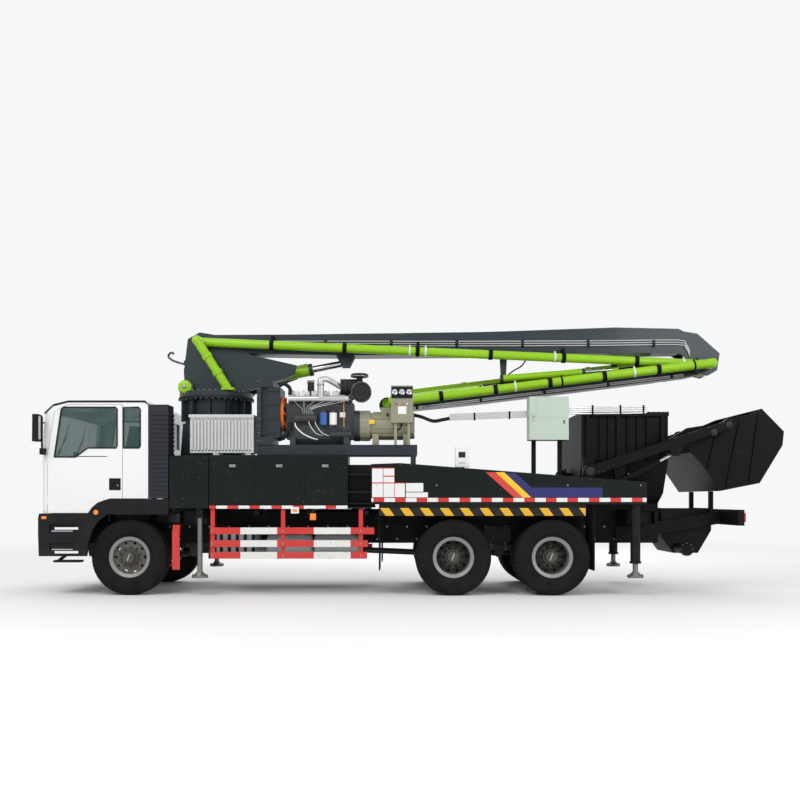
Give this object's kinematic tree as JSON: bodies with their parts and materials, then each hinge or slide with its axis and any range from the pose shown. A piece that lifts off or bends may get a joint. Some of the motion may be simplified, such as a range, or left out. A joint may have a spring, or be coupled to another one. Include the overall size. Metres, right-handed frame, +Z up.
{
  "type": "three-axle concrete pump truck with mixer skip",
  "caption": "Cab-over concrete pump truck with a folded placing boom, delivery pipe, open generating set, mixing trough, lifting skip and outriggers.",
  "frame": {"origin": "on the ground at the middle of the truck's length and width", "axes": "+X towards the tail, -X towards the cab, +Y to the truck's right, +Z up"},
  "size_m": [10.642, 2.88, 3.985],
  "materials": {
    "frame_black": "semi-gloss black paint",
    "deck_green": "satin black-green paint",
    "cab_white": "gloss white paint",
    "skirt_plastic": "near-black moulded plastic",
    "glass": "tinted glass",
    "cab_trim": "dark cab trim and seats",
    "lens": "clear and coloured lamp lenses",
    "guard_red": "red and white banded paint",
    "tank_grey": "pale grey tanks",
    "cooler_silver": "bare corrugated aluminium",
    "engine_metal": "grey cast engine",
    "alternator_beige": "beige paint",
    "cabinet_grey": "pale grey-green powder coat",
    "axle_steel": "dark axle steel",
    "tyre_rubber": "rubber on steel rims",
    "flap_rubber": "black rubber flaps",
    "boom_black": "gloss black paint",
    "pipe_lime": "gloss lime-green paint",
    "rod_chrome": "polished rod",
    "jack_steel": "bare jack steel"
  },
  "bodies": {
    "truck": {"chassis_frame": "frame_black", "tail_frame": "frame_black", "driveline": "engine_metal", "subframe": "frame_black", "front_axle": "axle_steel", "rear_axles": "axle_steel", "cab_shell": "cab_white", "cab_glass": "glass", "cab_interior": "cab_trim", "cab_skirt": "skirt_plastic", "lamps": "lens", "lockers": "deck_green", "deck_sides": "deck_green", "mudflaps": "flap_rubber", "side_guards": "guard_red", "tanks": "tank_grey", "cooler": "cooler_silver", "genset_engine": "engine_metal", "genset_frame": "frame_black", "alternator": "alternator_beige", "pedestal": "frame_black", "mixer_tank": "frame_black", "pump_hopper": "frame_black", "cabinet": "cabinet_grey"},
    "knuckle_left": {"knuckle_left": "axle_steel"},
    "knuckle_right": {"knuckle_right": "axle_steel"},
    "wheel_front_left": {"wheel_front_left": "tyre_rubber"},
    "wheel_front_right": {"wheel_front_right": "tyre_rubber"},
    "wheel_mid_left": {"wheel_mid_left": "tyre_rubber"},
    "wheel_mid_right": {"wheel_mid_right": "tyre_rubber"},
    "wheel_rear_left": {"wheel_rear_left": "tyre_rubber"},
    "wheel_rear_right": {"wheel_rear_right": "tyre_rubber"},
    "door_left": {"door_left": "cab_white", "door_glass_left": "glass"},
    "door_right": {"door_right": "cab_white", "door_glass_right": "glass"},
    "cabinet_door": {"cabinet_door": "cabinet_grey"},
    "turret": {"turret": "boom_black"},
    "arm_1": {"arm_1": "boom_black", "pipe_1": "pipe_lime"},
    "arm_2": {"arm_2": "boom_black", "pipe_2": "pipe_lime"},
    "arm_3": {"arm_3": "boom_black"},
    "arm_4": {"arm_4": "boom_black"},
    "lift_barrel": {"lift_barrel": "pipe_lime"},
    "lift_rod": {"lift_rod": "rod_chrome"},
    "skip": {"skip": "frame_black"},
    "skip_barrels": {"skip_barrels": "frame_black"},
    "skip_rods": {"skip_rods": "rod_chrome"},
    "outrigger_front_left": {"outrigger_front_left": "deck_green"},
    "jack_front_left": {"jack_front_left": "jack_steel"},
    "outrigger_front_right": {"outrigger_front_right": "deck_green"},
    "jack_front_right": {"jack_front_right": "jack_steel"},
    "outrigger_rear_left": {"outrigger_rear_left": "deck_green"},
    "jack_rear_left": {"jack_rear_left": "jack_steel"},
    "outrigger_rear_right": {"outrigger_rear_right": "deck_green"},
    "jack_rear_right": {"jack_rear_right": "jack_steel"}
  },
  "joints": [
    {"name": "steer_left", "type": "hinge", "parent": "truck", "child": "knuckle_left", "pos_m": [-4.06, -0.8, 0.54], "axis": [0, 0, 1], "range_deg": [-38, 38]},
    {"name": "steer_right", "type": "hinge", "parent": "truck", "child": "knuckle_right", "pos_m": [-4.06, 0.8, 0.54], "axis": [0, 0, 1], "range_deg": [-38, 38]},
    {"name": "roll_front_left", "type": "hinge", "parent": "knuckle_left", "child": "wheel_front_left", "pos_m": [-4.06, -1.03, 0.54], "axis": [0, 1, 0], "continuous": true},
    {"name": "roll_front_right", "type": "hinge", "parent": "knuckle_right", "child": "wheel_front_right", "pos_m": [-4.06, 1.03, 0.54], "axis": [0, 1, 0], "continuous": true},
    {"name": "roll_mid_left", "type": "hinge", "parent": "truck", "child": "wheel_mid_left", "pos_m": [0.54, -0.93, 0.54], "axis": [0, 1, 0], "continuous": true},
    {"name": "roll_mid_right", "type": "hinge", "parent": "truck", "child": "wheel_mid_right", "pos_m": [0.54, 0.93, 0.54], "axis": [0, 1, 0], "continuous": true},
    {"name": "roll_rear_left", "type": "hinge", "parent": "truck", "child": "wheel_rear_left", "pos_m": [1.94, -0.93, 0.54], "axis": [0, 1, 0], "continuous": true},
    {"name": "roll_rear_right", "type": "hinge", "parent": "truck", "child": "wheel_rear_right", "pos_m": [1.94, 0.93, 0.54], "axis": [0, 1, 0], "continuous": true},
    {"name": "door_left_swing", "type": "hinge", "parent": "truck", "child": "door_left", "pos_m": [-5.19, -1.229, 1.8], "axis": [0, 0, -1], "range_deg": [0, 70]},
    {"name": "door_right_swing", "type": "hinge", "parent": "truck", "child": "door_right", "pos_m": [-5.19, 1.229, 1.8], "axis": [0, 0, 1], "range_deg": [0, 70]},
    {"name": "cabinet_door_swing", "type": "hinge", "parent": "truck", "child": "cabinet_door", "pos_m": [2.17, -1.192, 2.5], "axis": [0, 0, 1], "range_deg": [0, 110]},
    {"name": "slew", "type": "hinge", "parent": "truck", "child": "turret", "pos_m": [-3.05, 0, 2.99], "axis": [0, 0, 1], "range_deg": [0, 360]},
    {"name": "boom_lift", "type": "hinge", "parent": "turret", "child": "arm_1", "pos_m": [-3.25, 0, 3.74], "axis": [0, -1, 0], "range_deg": [0, 90]},
    {"name": "arm_2_fold", "type": "hinge", "parent": "arm_1", "child": "arm_2", "pos_m": [4.45, 0, 3.4], "axis": [0, -1, 0], "range_deg": [0, 180]},
    {"name": "arm_3_fold", "type": "hinge", "parent": "arm_2", "child": "arm_3", "pos_m": [-0.41348, 0.315, 2.80284], "axis": [0, 1, 0], "range_deg": [0, 180]},
    {"name": "arm_4_fold", "type": "hinge", "parent": "arm_3", "child": "arm_4", "pos_m": [4.05298, 0.555, 3.35125], "axis": [0, 1, 0], "range_deg": [0, 180]},
    {"name": "lift_barrel_swing", "type": "hinge", "parent": "turret", "child": "lift_barrel", "pos_m": [-2.8, 0, 3.12], "axis": [0, -1, 0], "range_deg": [0, 82.35]},
    {"name": "lift_rod_slide", "type": "slide", "parent": "lift_barrel", "child": "lift_rod", "axis": [0.9806, 0, 0.1961], "range_m": [0, 1.04118]},
    {"name": "skip_lift", "type": "hinge", "parent": "truck", "child": "skip", "pos_m": [2.477, 0, 1.762], "axis": [0, -1, 0], "range_deg": [0, 54]},
    {"name": "skip_barrel_swing", "type": "hinge", "parent": "truck", "child": "skip_barrels", "pos_m": [2.942, 0, 1.621], "axis": [0, -1, 0], "range_deg": [0, 60.26]},
    {"name": "skip_rod_slide", "type": "slide", "parent": "skip_barrels", "child": "skip_rods", "axis": [0.8843, 0, 0.467], "range_m": [0, 0.42656]},
    {"name": "slide_front_left", "type": "slide", "parent": "truck", "child": "outrigger_front_left", "axis": [0, -1, 0], "range_m": [0, 1.5]},
    {"name": "jack_front_left_drop", "type": "slide", "parent": "outrigger_front_left", "child": "jack_front_left", "axis": [0, 0, -1], "range_m": [0, 0.55]},
    {"name": "slide_front_right", "type": "slide", "parent": "truck", "child": "outrigger_front_right", "axis": [0, 1, 0], "range_m": [0, 1.5]},
    {"name": "jack_front_right_drop", "type": "slide", "parent": "outrigger_front_right", "child": "jack_front_right", "axis": [0, 0, -1], "range_m": [0, 0.55]},
    {"name": "slide_rear_left", "type": "slide", "parent": "truck", "child": "outrigger_rear_left", "axis": [0, -1, 0], "range_m": [0, 1.5]},
    {"name": "jack_rear_left_drop", "type": "slide", "parent": "outrigger_rear_left", "child": "jack_rear_left", "axis": [0, 0, -1], "range_m": [0, 0.55]},
    {"name": "slide_rear_right", "type": "slide", "parent": "truck", "child": "outrigger_rear_right", "axis": [0, 1, 0], "range_m": [0, 1.5]},
    {"name": "jack_rear_right_drop", "type": "slide", "parent": "outrigger_rear_right", "child": "jack_rear_right", "axis": [0, 0, -1], "range_m": [0, 0.55]}
  ],
  "couplings": [
    {"joint": "steer_right", "follows": "steer_left", "ratio": 1},
    {"joint": "slew", "follows": "boom_lift", "ratio": 4},
    {"joint": "arm_2_fold", "follows": "boom_lift", "ratio": 2},
    {"joint": "arm_3_fold", "follows": "boom_lift", "ratio": 2},
    {"joint": "arm_4_fold", "follows": "boom_lift", "ratio": 2},
    {"joint": "lift_barrel_swing", "follows": "boom_lift", "ratio": 0.91491},
    {"joint": "lift_rod_slide", "follows": "boom_lift", "m_per_rad": 0.66277},
    {"joint": "skip_lift", "follows": "boom_lift", "ratio": 0.6},
    {"joint": "skip_barrel_swing", "follows": "boom_lift", "ratio": 0.66943},
    {"joint": "skip_rod_slide", "follows": "boom_lift", "m_per_rad": 0.27149}
  ]
}
